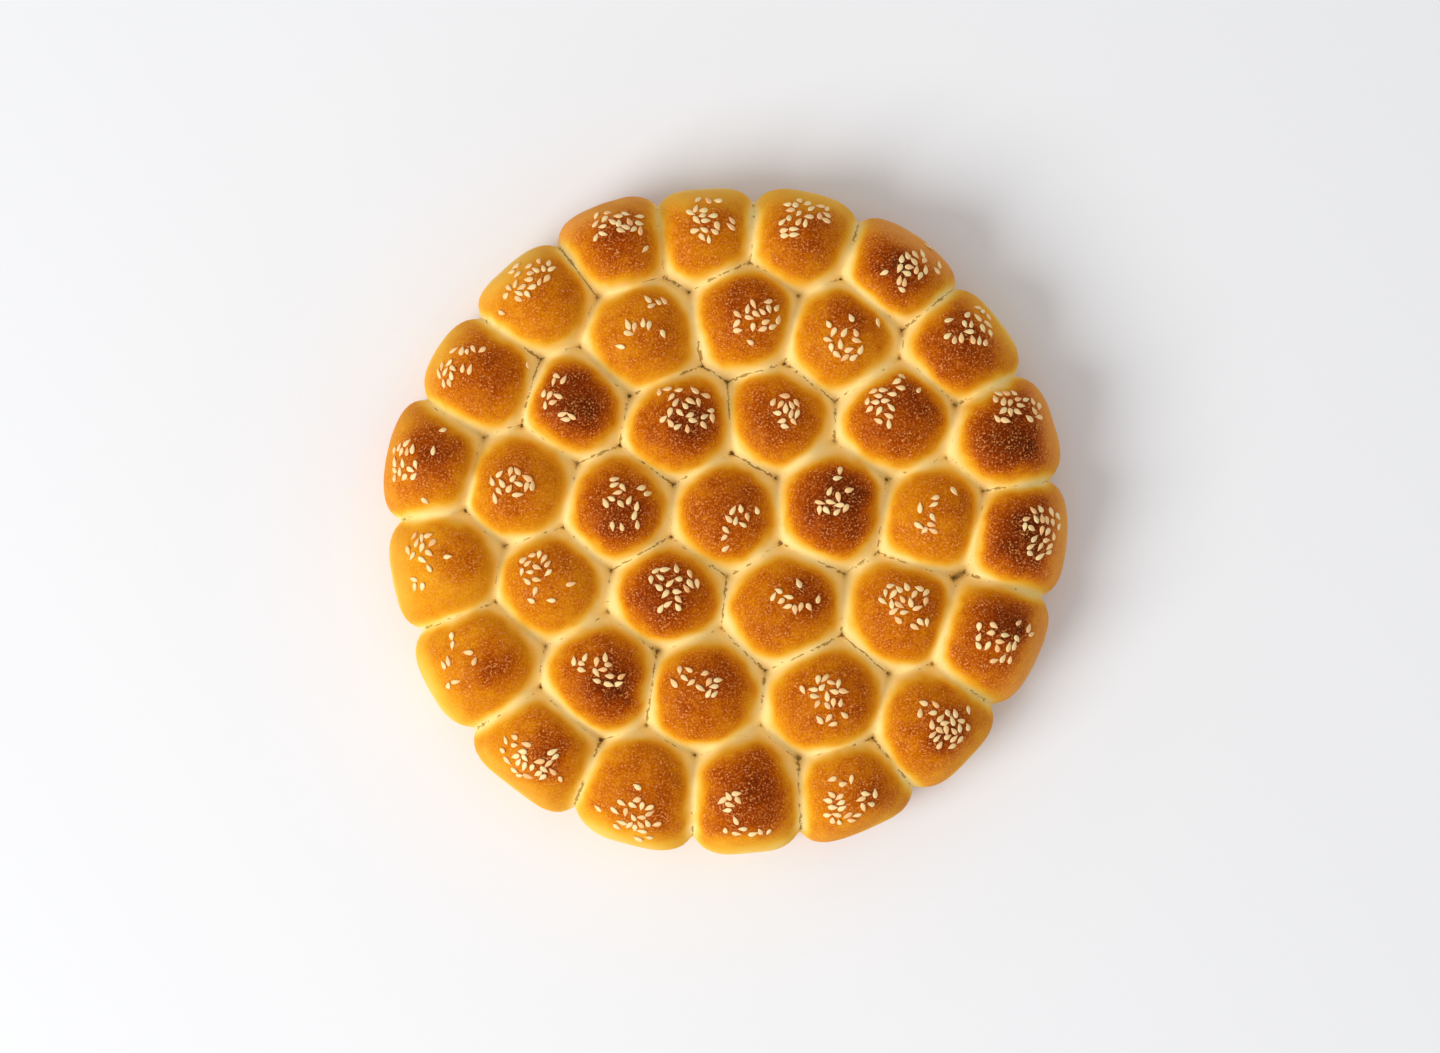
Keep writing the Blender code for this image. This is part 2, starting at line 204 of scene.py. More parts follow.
OUTER_RING = (
    Bun(111.5, 103.0, 18.6, 41.5, Bake.BROWN, Spot(3.0, 3.0, ScorchAndShade.PLAIN),
        (Patch(11, 4.5, 6.0, 5.0, 3.8), Patch(5, -4.0, 7.5, 2.8, 2.8),
         Patch(2, -5.5, 1.8, 2.0, 1.0), Patch(1, 10.0, -2.5)), 120.5, Edge.TAN),
    Bun(94.0, 100.0, 18.3, 40.0, Bake.LIGHT, Spot(3.0, 3.0, ScorchAndShade.FAINT),
        (Patch(10, 1.0, 0.5, 4.5, 4.5), Patch(3, -2.0, 5.5, 3.0, 1.5), Patch(2, 9.0, 3.5, 1.0, 3.0),
         Patch(3, 1.5, 10.0, 5.5, 1.0)), 117.0, Edge.PALE),
    Bun(75.0, 101.0, 19.0, 41.5, Bake.MEDIUM, Spot(5.0, 1.0, ScorchAndShade.FAINT),
        (Patch(16, 1.5, 8.0, 8.0, 4.0), Patch(8, -4.5, 3.5, 3.0, 4.0)), 120.0, Edge.PALE),
    Bun(55.5, 105.0, 18.6, 42.0, Bake.DARK, Spot(1.0, 1.0, ScorchAndShade.STRONG),
        (Patch(13, 5.0, 1.0, 5.0, 4.5), Patch(3, 1.0, -6.0, 2.0, 1.8),
         Patch(2, 14.0, -0.5, 1.2, 2.2), Patch(1, 11.0, 7.0), Patch(1, -5.0, -2.0)), 120.5, Edge.TAN),
    Bun(36.5, 101.0, 18.4, 41.0, Bake.DARK, Spot(2.0, 9.0, ScorchAndShade.FAINT),
        (Patch(18, 5.5, 6.5, 4.5, 6.0), Patch(1, -4.0, 7.5),
         Patch(4, -3.5, 2.0, 3.0, 1.2)), 119.5, Edge.GOLDEN),
    Bun(16.5, 101.0, 18.6, 42.5, Bake.DEEP, Spot(3.0, -2.0, ScorchAndShade.PLAIN),
        (Patch(12, 1.0, 12.0, 5.0, 4.0), Patch(3, -2.5, 6.5, 2.0, 1.5),
         Patch(5, 8.0, 8.5, 3.5, 3.5)), 121.5, Edge.TAN),
    Bun(357.0, 102.0, 18.8, 42.0, Bake.DEEP, Spot(2.0, 0.0, ScorchAndShade.PLAIN),
        (Patch(17, 6.5, 4.0, 6.0, 5.0), Patch(9, 5.5, -3.5, 4.0, 3.5)), 120.5, Edge.TAN),
    Bun(336.5, 100.0, 19.2, 43.0, Bake.DARK, Spot(6.0, 7.0, ScorchAndShade.STRONG),
        (Patch(10, 0.5, -1.0, 7.0, 3.0), Patch(3, 1.5, -7.5, 4.0, 1.0), Patch(1, -5.5, 4.5),
         Patch(1, -0.5, 3.5), Patch(1, 8.0, 4.5), Patch(2, 12.8, 1.0, 1.0, 2.0)), 120.5, Edge.TAN),
    Bun(314.5, 100.0, 18.6, 41.5, Bake.BROWN, Spot(7.5, -1.0, ScorchAndShade.STRONG),
        (Patch(19, 6.5, -0.5, 7.0, 5.5), Patch(4, -1.0, 7.0, 3.0, 2.5),
         Patch(1, 14.0, 5.5)), 120.5, Edge.BROWN),
    Bun(295.0, 102.5, 18.4, 41.0, Bake.MEDIUM, Spot(10.0, -2.0, ScorchAndShade.PLAIN),
        (Patch(3, -3.5, 4.0, 4.0, 1.2), Patch(6, -5.5, -3.0, 3.5, 2.8),
         Patch(7, -2.5, -9.0, 5.5, 1.8), Patch(5, 5.0, -3.0, 4.5, 3.0)), 120.5, Edge.BROWN),
    Bun(274.5, 95.5, 19.1, 42.5, Bake.DARK, Spot(6.0, 4.0, ScorchAndShade.PLAIN),
        (Patch(7, -6.0, -0.5, 4.0, 3.0), Patch(1, -3.0, -6.5),
         Patch(6, -0.5, -11.5, 7.5, 1.5)), 118.0, Edge.CREAM),
    Bun(252.5, 98.5, 19.4, 41.0, Bake.MEDIUM, Spot(8.0, -2.0, ScorchAndShade.FAINT),
        (Patch(14, -2.5, -4.5, 6.5, 3.0), Patch(9, -0.5, -10.0, 7.0, 2.5), Patch(1, 0.0, 3.0),
         Patch(1, -13.0, -5.0), Patch(2, 1.5, -15.0, 3.0, 0.8)), 120.0, Edge.CREAM),
    Bun(231.0, 102.5, 18.6, 41.5, Bake.MEDIUM, Spot(7.0, 1.0, ScorchAndShade.STRONG),
        (Patch(10, -7.5, 1.0, 4.5, 4.5), Patch(11, -1.0, -5.5, 6.5, 3.0),
         Patch(2, 5.5, 0.0, 1.0, 2.2), Patch(1, 8.0, -8.0)), 120.5, Edge.GOLDEN),
    Bun(210.0, 98.0, 19.6, 41.0, Bake.LIGHT, Spot(7.0, -1.0, ScorchAndShade.STRONG),
        (Patch(2, -8.5, 6.5, 1.0, 2.6), Patch(3, -11.0, 0.0, 2.0, 1.2),
         Patch(2, -2.0, 2.5, 1.5, 4.0), Patch(3, -9.0, -6.5, 1.8, 1.2)), 121.5, Edge.CREAM),
    Bun(189.5, 98.5, 19.4, 40.5, Bake.GOLDEN, Spot(7.0, 4.0, ScorchAndShade.STRONG),
        (Patch(10, -6.5, 7.0, 5.0, 4.0), Patch(1, -4.0, 1.0), Patch(3, -8.5, -5.5, 2.5, 2.5),
         Patch(1, 2.0, 3.5)), 119.0, Edge.GOLDEN),
    Bun(169.0, 104.0, 18.6, 42.0, Bake.BROWN, Spot(3.0, 5.0, ScorchAndShade.STRONG),
        (Patch(6, -8.0, 4.5, 3.5, 2.5), Patch(9, -8.0, -2.5, 4.5, 3.5), Patch(1, 2.0, 4.5),
         Patch(1, 5.0, 10.5), Patch(1, -1.5, -12.5)), 122.5, Edge.BROWN),
    Bun(149.5, 96.5, 18.9, 41.0, Bake.BROWN, Spot(7.0, 5.0, ScorchAndShade.PLAIN),
        (Patch(6, -5.5, 9.5, 5.0, 1.2), Patch(8, -12.5, 1.5, 3.0, 3.5),
         Patch(2, -6.5, 3.0, 2.5, 1.0), Patch(1, 15.0, 5.0)), 118.5, Edge.GOLDEN),
    Bun(130.0, 99.5, 18.7, 41.5, Bake.LIGHT, Spot(10.0, 5.0, ScorchAndShade.PLAIN),
        (Patch(13, 0.5, 8.5, 4.0, 4.5), Patch(4, -8.0, 8.0, 2.0, 3.0),
         Patch(7, -6.5, 2.0, 5.0, 2.5), Patch(1, -13.5, -5.0)), 118.0, Edge.PALE),
)
ALL_BUNS = CENTRE_BUN + INNER_RING + MIDDLE_RING + OUTER_RING


def direction(degrees: float) -> Array:
    """Return the level unit vector at an angle from +X."""
    turn = math.radians(degrees)
    return np.array((math.cos(turn), math.sin(turn)))


def all_round(columns: int) -> Array:
    """Return level unit vectors evenly all round, counter-clockwise from +X."""
    turns = np.linspace(0.0, math.tau, columns, endpoint=False)
    return np.stack((np.cos(turns), np.sin(turns)), axis=1)


def linear(red: float, green: float, blue: float) -> tuple[float, float, float, float]:
    """Turn a screen colour into the linear colour that a shader takes, by the usual screen curve.

    Args:
        red, green, blue: the screen colour's channels, from 0 to 255.

    Returns:
        The linear red, green and blue with an alpha of 1.
    """
    shares = (channel / 255.0 for channel in (red, green, blue))
    red_light, green_light, blue_light = (
        share / 12.92 if share <= 0.04045 else ((share + 0.055) / 1.055) ** 2.4 for share in shares
    )
    return red_light, green_light, blue_light, 1.0


def unit(rows: Array) -> Array:
    """Scale each row to a length of 1."""
    return rows / np.linalg.norm(rows, axis=1, keepdims=True)


def ease(low: float, high: float, values: Array) -> Array:
    """Rise smoothly from 0 at low to 1 at high: 3 t squared minus 2 t cubed."""
    share = np.clip((values - low) / (high - low), 0.0, 1.0)
    return share * share * (3.0 - 2.0 * share)


def lattice_noise(points: Array, wavelength: float, pattern: int) -> Array:
    """Work out smooth noise: hashed values at a cubic lattice's corners, eased between them.

    Args:
        points: positions, one a row.
        wavelength: the lattice's spacing.
        pattern: each number gives another pattern.

    Returns:
        One value from -1 to 1 for each point.
    """
    shift = 17.31 * pattern
    scaled = points / wavelength + shift
    corner = np.floor(scaled).astype(np.int64)
    share = scaled - corner
    eased = share ** 3 * (share * (share * 6.0 - 15.0) + 10.0)
    total = np.zeros(len(points))
    for step in np.ndindex(2, 2, 2):
        x, y, z = (corner + step).T
        mixed = (x * HASH_X) ^ (y * HASH_Y) ^ (z * HASH_Z) ^ (pattern * HASH_PATTERN)
        mixed = ((mixed ^ (mixed >> 13)) * HASH_MIX) & 0xFFFFFFFF
        value = ((mixed ^ (mixed >> 15)) & 0xFFFF) / 32767.5 - 1.0
        weight = np.where(np.array(step) == 1, eased, 1.0 - eased).prod(axis=1)
        total += value * weight
    return total


class Waves(NamedTuple):
    """Smooth irregular waves: their strength, their length and their pattern."""

    strength: float
    wavelength: float
    pattern: int

    def at(self, points: Array) -> Array:
        """Return the waves' value at each point, from minus to plus their strength."""
        return self.strength * lattice_noise(points, self.wavelength, self.pattern)


def new_object(name: str, data: bpy.types.ID) -> bpy.types.Object:
    """Put a mesh, camera or lamp into the scene as an object at the origin.

    Args:
        name: the object's name.
        data: the mesh, camera or lamp.

    Returns:
        The new object.
    """
    made = bpy.data.objects.new(name, data)
    bpy.context.scene.collection.objects.link(made)
    return made


def new_mesh_object(name: str, points: Array, faces: list) -> bpy.types.Object:
    """Put computed points and faces into a new object at the origin.

    Args:
        name: the name of the mesh and of the object.
        points: the points, one a row.
        faces: each face's point numbers, counter-clockwise seen from outside.

    Returns:
        The new object.
    """
    mesh = bpy.data.meshes.new(name)
    mesh.from_pydata(points.tolist(), [], faces)
    mesh.update()
    return new_object(name, mesh)


def read_rows(items: bpy.types.bpy_prop_collection, name: str, width: int, kind: type = float) -> Array:
    """Read one property of every point, normal or edge of a mesh.

    Args:
        items: the mesh's points, normals or edges.
        name: the property's name.
        width: how many numbers the property holds.
        kind: the type to read them as.

    Returns:
        One row of numbers for each item.
    """
    values = np.empty(len(items) * width, kind)
    items.foreach_get(name, values)
    return values.reshape(-1, width)


def keep_on_points(mesh: bpy.types.Mesh, **numbers: Array) -> None:
    """Keep numbers on a mesh's points, under the names that its material reads."""
    for name, values in numbers.items():
        mesh.attributes.new(name, "FLOAT", "POINT").data.foreach_set("value", values)


def ball_faces(rows: int, columns: int) -> list:
    """List the faces of a closed ball: a top point, rows of points from top to bottom, a bottom point.

    Args:
        rows: how many rows lie between the two poles.
        columns: how many points each row has, counter-clockwise seen from above.

    Returns:
        Triangles at both poles and quads between the rows, all facing outwards.
    """
    here = 1 + np.arange(rows * columns).reshape(rows, columns)
    after = np.roll(here, -1, axis=1)
    top = np.stack((np.zeros(columns, int), here[0], after[0]), axis=1)
    quads = np.stack((here[:-1], here[1:], after[1:], after[:-1]), axis=2).reshape(-1, 4)
    bottom = np.stack((here[-1], np.full(columns, 1 + rows * columns), after[-1]), axis=1)
    return top.tolist() + quads.tolist() + bottom.tolist()


def even_steps(across: Array, upward: Array, cost: Array, count: int) -> tuple:
    """Space points evenly along a profile, counting some stretches for less.

    Args:
        across, upward: the profile's dense points.
        cost: how much a length counts for, at each dense point.
        count: how many points to return, both ends among them.

    Returns:
        The across and upward values of the evenly spaced points.
    """
    length = np.hypot(np.diff(across), np.diff(upward)) * 0.5 * (cost[1:] + cost[:-1])
    travelled = np.concatenate(([0.0], np.cumsum(length)))
    wanted = np.linspace(0.0, travelled[-1], count)
    return np.interp(wanted, travelled, across), np.interp(wanted, travelled, upward)


@dataclass(frozen=True)
class Dough:
    """How every ball is pressed, in the same sizes as the solid."""

    widest_level: float = 18.0 * MM
    belly_depth: float = 28.0 * MM
    overlap: float = 1.2
    corner_power: float = 5.0
    wall_power: float = 6.0
    joining_power: float = 3.0
    wall_spread: float = 20.0
    neighbour_range: float = 52.0 * MM
    outer_lean: float = 4.0 * MM
    press_power: float = 3.0
    dome_flatness: float = 2.3
    belly_squareness: float = 6.6
    mean_radius: float = 20.5 * MM
    spot_radius: float = 9.5 * MM
    spot_fade: float = 3.0
    spot_level: float = 0.38
    profile_steps: int = 400
    flat_cost: float = 0.3
    flat_level: float = 0.02 * MM
    dome_rows: int = 27
    belly_rows: int = 13
    columns: int = 72


class PressedBun:
    """The soft polygon and dome that one ball takes between its neighbours."""

    def __init__(self, bun: Bun, dough: Dough) -> None:
        """Find the pole, and the meeting and wall planes as seen from it.

        Args:
            bun: the ball of dough.
            dough: how every ball is pressed.
        """
        self.bun = bun
        self.dough = dough
        self.centre = direction(bun.angle) * bun.reach * MM
        self.is_outer = bun in OUTER_RING
        lean = dough.outer_lean if self.is_outer else 0.0
        self.pole = self.centre - direction(bun.angle) * lean
        self.height = bun.height * MM
        self.normals, self.distances = self._meeting_planes()
        self.wall_normals, self.wall_distances = self._wall_planes()
        self.toward = all_round(dough.columns)
        self.reach = dough.overlap / self.gauge(self.toward)

    def _meeting_planes(self) -> tuple[Array, Array]:
        """Find the planes shared with the neighbours, placed by both balls' sizes.

        Returns:
            Each plane's level unit normal, and its distance from the pole.
        """
        normals, distances = [], []
        for other in ALL_BUNS:
            across = direction(other.angle) * other.reach * MM - self.centre
            span = float(np.hypot(*across))
            if other is self.bun or span > self.dough.neighbour_range:
                continue
            share = (span ** 2 + (self.bun.size * MM) ** 2 - (other.size * MM) ** 2) / (2.0 * span)
            normal = across / span
            normals.append(normal)
            distances.append(share - (self.pole - self.centre) @ normal)
        return np.array(normals), np.array(distances)

    def _wall_planes(self) -> tuple[Array, Array]:
        """Find the planes that touch the tin's wall, none for an inner bun.

        The wall isn't quite round: between two outer buns its distance runs evenly from one
        rim to the other.

        Returns:
            Each plane's level unit normal, and its distance from the pole divided by the overlap.
        """
        sides = (-1, 0, 1) if self.is_outer else ()
        turns = [self.bun.angle + side * self.dough.wall_spread for side in sides]
        normals = np.array([direction(turn) for turn in turns]).reshape(-1, 2)
        angles, rims = zip(*((bun.angle, bun.rim) for bun in OUTER_RING))
        walls = np.interp(turns, angles, rims, period=360.0) * MM
        return normals, (walls - normals @ self.pole) / self.dough.overlap

    def corner_sum(self, offsets: Array) -> Array:
        """Sum the offsets' shares of the meeting planes' distances, each raised to the corner power."""
        shares = np.maximum(offsets @ self.normals.T, 0.0) / self.distances
        return (shares ** self.dough.corner_power).sum(axis=1)

    def gauge(self, offsets: Array) -> Array:
        """Measure level offsets from the pole against the pressed outline.

        The shares of the meeting planes are joined by a power mean, which rounds the corners
        between neighbours. The wall's planes have a sharper one, and a third joins both.

        Args:
            offsets: level offsets from the pole, one a row.

        Returns:
            1 on the outline without its overlap, less inside.
        """
        dough = self.dough
        walled = (np.maximum(offsets @ self.wall_normals.T, 0.0) / self.wall_distances) ** dough.wall_power
        joined = (self.corner_sum(offsets) ** (dough.joining_power / dough.corner_power)
                  + walled.sum(axis=1) ** (dough.joining_power / dough.wall_power))
        return joined ** (1.0 / dough.joining_power)

    def share(self, offsets: Array) -> Array:
        """Return how much of the bun's reach each offset takes, 0 at the pole and 1 at the outline."""
        return self.gauge(offsets) / self.dough.overlap

    def seam_distances(self, offsets: Array) -> tuple[Array, Array]:
        """Measure how far the two nearest seams are.

        Args:
            offsets: level offsets from the pole, one a row.

        Returns:
            The distances to the nearest and to the second nearest meeting plane.
        """
        gaps = np.maximum(self.distances - offsets @ self.normals.T, 0.0)
        nearest = np.partition(gaps, 1, axis=1)
        return nearest[:, 0], nearest[:, 1]

    def inset(self, offsets: Array) -> Array:
        """Return about how far inside the rounded outline of the meeting planes each offset lies."""
        gauge = self.corner_sum(offsets) ** (1.0 / self.dough.corner_power)
        return (1.0 - gauge) * self.distances.mean()

    def edge(self, offsets: Array) -> Array:
        """Return how far inside the nearest wall plane each offset lies, very far on an inner bun."""
        gaps = self.wall_distances * self.dough.overlap - offsets @ self.wall_normals.T
        return gaps.min(axis=1, initial=1.0)

    def bake_at(self, offsets: Array) -> Array:
        """Work out how brown the top is, from the bun's bake and its darkest spot, which is partly painted
        shade.

        The spot fades as a broad bell curve of the distance from its middle. A level comes off
        it, so the rest of the top is a little paler.

        Args:
            offsets: level offsets from the pole, one a row.

        Returns:
            One value for each offset, on the scale of the crust's colours.
        """
        spot = self.bun.spot
        middle = self.centre - self.pole + np.array((spot.right, spot.up)) * MM
        away = np.hypot(*(offsets - middle).T) / self.dough.spot_radius
        bell = np.exp(-(away ** self.dough.spot_fade))
        # The spot darkens the crust partly as browning and partly as painted shade.
        return self.bun.bake.value + spot.scorch_and_shade.value * (bell - self.dough.spot_level)

    def dome_level(self, offsets: Array) -> Array:
        """Work out the dome's height over level offsets from the pole.

        The dome is round at the top and takes on the pressed outline toward its widest level. Its
        share is the distance over the mean reach, blended into the pressed share by a power of
        the pressed share. A superellipse of that share gives the height.

        Args:
            offsets: level offsets from the pole, one a row.

        Returns:
            One height for each offset.
        """
        pressed = np.minimum(self.share(offsets), 1.0)
        weight = pressed ** self.dough.press_power
        rounded = np.hypot(*offsets.T) / self.reach.mean()
        blended = rounded * (1.0 - weight) + pressed * weight
        rise = np.sqrt(np.clip(1.0 - blended ** self.dough.dome_flatness, 0.0, 1.0))
        return self.dough.widest_level + (self.height - self.dough.widest_level) * rise

    def profile(self) -> tuple[Array, Array]:
        """Work out the ball's rows from the top pole to the bottom pole.

        The dome is a superellipse. The belly is a deeper one, pressed flat on the tin, where
        lengths count for less.

        Returns:
            Each row's share of the bun's reach, and its level.
        """
        dough = self.dough
        polar = np.linspace(0.0, math.pi / 2.0, dough.profile_steps)
        dome_share = np.sin(polar) ** (2.0 / dough.dome_flatness)
        dome_level = dough.widest_level + (self.height - dough.widest_level) * np.cos(polar)
        belly_share = np.cos(polar) ** (2.0 / dough.belly_squareness)
        belly_share[-1] = 0.0
        belly_level = np.maximum(0.0, dough.widest_level - dough.belly_depth * np.sin(polar))
        dome = even_steps(dome_share * dough.mean_radius, dome_level,
                          np.ones_like(polar), dough.dome_rows)
        cost = np.where(belly_level > 0.0, 1.0, dough.flat_cost)
        belly = even_steps(belly_share * dough.mean_radius, belly_level, cost, dough.belly_rows)
        share = np.concatenate((dome[0], belly[0][1:])) / dough.mean_radius
        level = np.concatenate((dome[1], belly[1][1:]))
        level[level < dough.flat_level] = 0.0
        return share, level

    def ball(self, name: str) -> bpy.types.Object:
        """Make the whole pressed ball as a closed object.

        Args:
            name: the object's name.

        Returns:
            The ball.
        """
        share, level = self.profile()
        offsets = share[1:-1, None, None] * (self.reach[:, None] * self.toward)[None, :, :]
        heights = np.repeat(level[1:-1], self.dough.columns)
        domed = (self.dough.dome_rows - 1) * self.dough.columns
        flat = offsets.reshape(-1, 2)
        heights[:domed] = self.dome_level(flat[:domed])
        rows = np.column_stack((flat + self.pole, heights))
        points = np.concatenate(([[*self.pole, level[0]]], rows, [[*self.pole, level[-1]]]))
        return new_mesh_object(name, points, ball_faces(len(share) - 2, self.dough.columns))


class NodeBoard:
    """A material's nodes, added and joined by short calls."""

    def __init__(self, name: str) -> None:
        """Start a material with its Principled shader.

        Args:
            name: the material's name.
        """
        self.material = bpy.data.materials.new(name)
        self.material.use_nodes = True
        self.tree = self.material.node_tree
        self.shader = self.tree.nodes["Principled BSDF"]

    def feed(self, node: bpy.types.Node, inputs: dict) -> None:
        """Link each input to a socket or set it to a number, whichever its value is.

        Args:
            node: the node that takes them.
            inputs: the values, under the names or numbers of the node's inputs.
        """
        for name, value in inputs.items():
            if isinstance(value, Socket):
                self.tree.links.new(value, node.inputs[name])
            else:
                node.inputs[name].default_value = value

    def add(self, kind: str, inputs: dict, **settings: object) -> bpy.types.Node:
        """Add a node with its plain settings and its inputs.

        Args:
            kind: the node's type.
            inputs: values for its inputs, as feed takes them.
            settings: its plain settings by name.

        Returns:
            The new node.
        """
        node = self.tree.nodes.new(kind)
        for key, value in settings.items():
            setattr(node, key, value)
        self.feed(node, inputs)
        return node

    def attribute(self, name: str) -> Socket:
        """Read a number kept on the mesh's points."""
        return self.add("ShaderNodeAttribute", {}, attribute_name=name).outputs["Fac"]

    def math(self, operation: str, first: object, second: object, clamp: bool = False) -> Socket:
        """Reckon with two values by a named operation."""
        inputs = {0: first, 1: second}
        return self.add("ShaderNodeMath", inputs, operation=operation, use_clamp=clamp).outputs[0]

    def about_zero(self, value: object, strength: float) -> Socket:
        """Turn a value from 0 to 1 into one from minus to plus half a strength."""
        return self.math("MULTIPLY", self.math("SUBTRACT", value, 0.5), strength)

    def noise(self, size: float, detail: float = 2.0, roughness: float = 0.5) -> Socket:
        """Add noise on the object's own coordinates.

        Args:
            size: how wide its blobs are, about.
            detail: how many finer layers it has.
            roughness: how much each finer layer counts.

        Returns:
            Its value, from 0 to 1.
        """
        place = self.add("ShaderNodeTexCoord", {}).outputs["Object"]
        inputs = {"Vector": place, "Scale": 1.0 / size, "Detail": detail, "Roughness": roughness}
        return self.add("ShaderNodeTexNoise", inputs).outputs["Fac"]

    def spread(self, value: object, low: float, high: float, out_low: float = 0.0,
               out_high: float = 1.0) -> Socket:
        """Map one range onto another smoothly and hold it at the ends."""
        inputs = {"Value": value, "From Min": low, "From Max": high, "To Min": out_low, "To Max": out_high}
        return self.add("ShaderNodeMapRange", inputs, interpolation_type="SMOOTHSTEP").outputs["Result"]

    def ramp(self, value: object, stops: tuple) -> Socket:
        """Turn a number from 0 to 1 into a colour.

        Args:
            value: the number.
            stops: pairs of position and linear colour, rising.

        Returns:
            The colour between the stops.
        """
        node = self.add("ShaderNodeValToRGB", {"Fac": value})
        band = node.color_ramp
        while len(band.elements) < len(stops):
            band.elements.new(1.0)
        for element, (position, colour) in zip(band.elements, stops):
            element.position = position
            element.color = colour
        return node.outputs["Color"]

    def blend(self, share: object, first: object, second: object) -> Socket:
        """Mix two colours by a share."""
        inputs = {"Factor": share, "A": first, "B": second}
        return self.add("ShaderNodeMix", inputs, data_type="RGBA").outputs["Result"]


@dataclass(frozen=True)
class CrustFinish:
    """The baked crust: cream in the seams, golden on the shoulders, brown on top.

    A range holds the low and the high value that come in, then the two that go out, which are
    0 and 1 where it names none.
    """

    stops: tuple = (
        (0.00, linear(252, 224, 154)),
        (0.12, linear(247, 205, 106)),
        (0.26, linear(239, 180, 52)),
        (0.40, linear(225, 147, 16)),
        (0.55, linear(204, 113, 3)),
        (0.70, linear(169, 74, 0)),
        (0.85, linear(132, 47, 1)),
        (1.00, linear(92, 31, 3)),
    )
    # Painted sheen and shade on the outer rims: a desaturated tan that stands in for grazing reflections
    # and for shade on the rims.
    dull: tuple = linear(226, 146, 84)
    # Painted shade: a thin dark line laid along the seams' creases, where shade falls between the buns.
    crease_shade: tuple = linear(154, 112, 26)
    # Pale flecks: partly paler blistered crust, partly painted glints of light.
    blister_and_glint: tuple = linear(250, 168, 94)
    speckle_size: float = 0.9 * MM
    fleck_size: float = 0.55 * MM
    blister_and_glint_size: float = 0.75 * MM
    blotch_size: float = 6.0 * MM
    crease_shade_size: float = 3.0 * MM
    speckling: float = 0.36
    flecking: float = -0.12
    blotching: float = 0.36
    browned_range: tuple = (0.15, 0.6)
    fleck_range: tuple = (0.57, 0.70)
    blister_and_glint_range: tuple = (0.49, 0.75, 0.0, 0.56)
    gathering_range: tuple = (0.3, 0.7, 0.6, 1.4)
    crease_shade_width_range: tuple = (0.42, 0.64, 0.02, 0.24)
    crease_shade_range: tuple = (0.4, 1.0, 0.75, 0.0)
    roughness_range: tuple = (0.1, 0.7, 0.62, 0.42)
    bump_height: float = 0.10 * MM
    bump_strength: float = 0.6
    fleck_bump: float = 0.5

    def material(self) -> bpy.types.Material:
        """Build the material: browning with speckles, flecks, blotches, blisters with painted glints, and
        painted crease shade.

        A thin line of painted shade runs where the distance to the seam, in mm, is less than a width that
        varies.

        Returns:
            The crust's material.
        """
        board = NodeBoard("crust")
        browning = board.attribute("browning")
        speckle = board.noise(self.speckle_size, detail=3.0, roughness=0.65)
        fleck = board.noise(self.fleck_size, detail=1.0)
        blotch = board.noise(self.blotch_size, detail=3.0)
        grown = board.spread(browning, *self.browned_range)
        flecked = board.math("MULTIPLY", board.spread(fleck, *self.fleck_range), self.flecking)
        varied = board.math("ADD", board.about_zero(speckle, self.speckling), flecked)
        varied = board.math("ADD", varied, board.about_zero(blotch, self.blotching))
        heat = board.math("ADD", browning, board.math("MULTIPLY", varied, grown), clamp=True)
        colour = board.ramp(heat, self.stops)
        # Painted sheen and shade on the outer rims: the desaturated tan blended in by its kept strength.
        colour = board.blend(board.attribute("dulling"), colour, self.dull)
        # Pale flecks, partly blistered crust and partly painted glints, gathered in clusters.
        blister_and_glint = board.noise(self.blister_and_glint_size, detail=1.5, roughness=0.6)
        gathered = board.noise(self.blotch_size, detail=1.0)
        blister_and_glint = board.math("MULTIPLY", board.spread(blister_and_glint, *self.blister_and_glint_range),
                             board.spread(gathered, *self.gathering_range))
        colour = board.blend(board.math("MULTIPLY", blister_and_glint, grown), colour, self.blister_and_glint)
        # Painted shade in the seams' creases: a thin dark line whose width varies along the seam.
        wide = board.noise(self.crease_shade_size, detail=4.0, roughness=0.7)
        wide = board.spread(wide, *self.crease_shade_width_range)
        crease_shade = board.spread(board.math("DIVIDE", board.attribute("seam"), wide), *self.crease_shade_range)
        grain = board.math("ADD", speckle, board.math("MULTIPLY", fleck, self.fleck_bump))
        bump = board.add("ShaderNodeBump", {"Strength": self.bump_strength,
                                            "Distance": self.bump_height, "Height": grain})
        board.feed(board.shader, {
            "Base Color": board.blend(crease_shade, colour, self.crease_shade),
            "Roughness": board.spread(browning, *self.roughness_range),
            "Normal": bump.outputs["Normal"],
            "Specular IOR Level": 0.02,
            "Subsurface Weight": 0.18,
            "Subsurface Radius": (1.0, 0.5, 0.2),
            "Subsurface Scale": 2.5 * MM,
        })
        return board.material


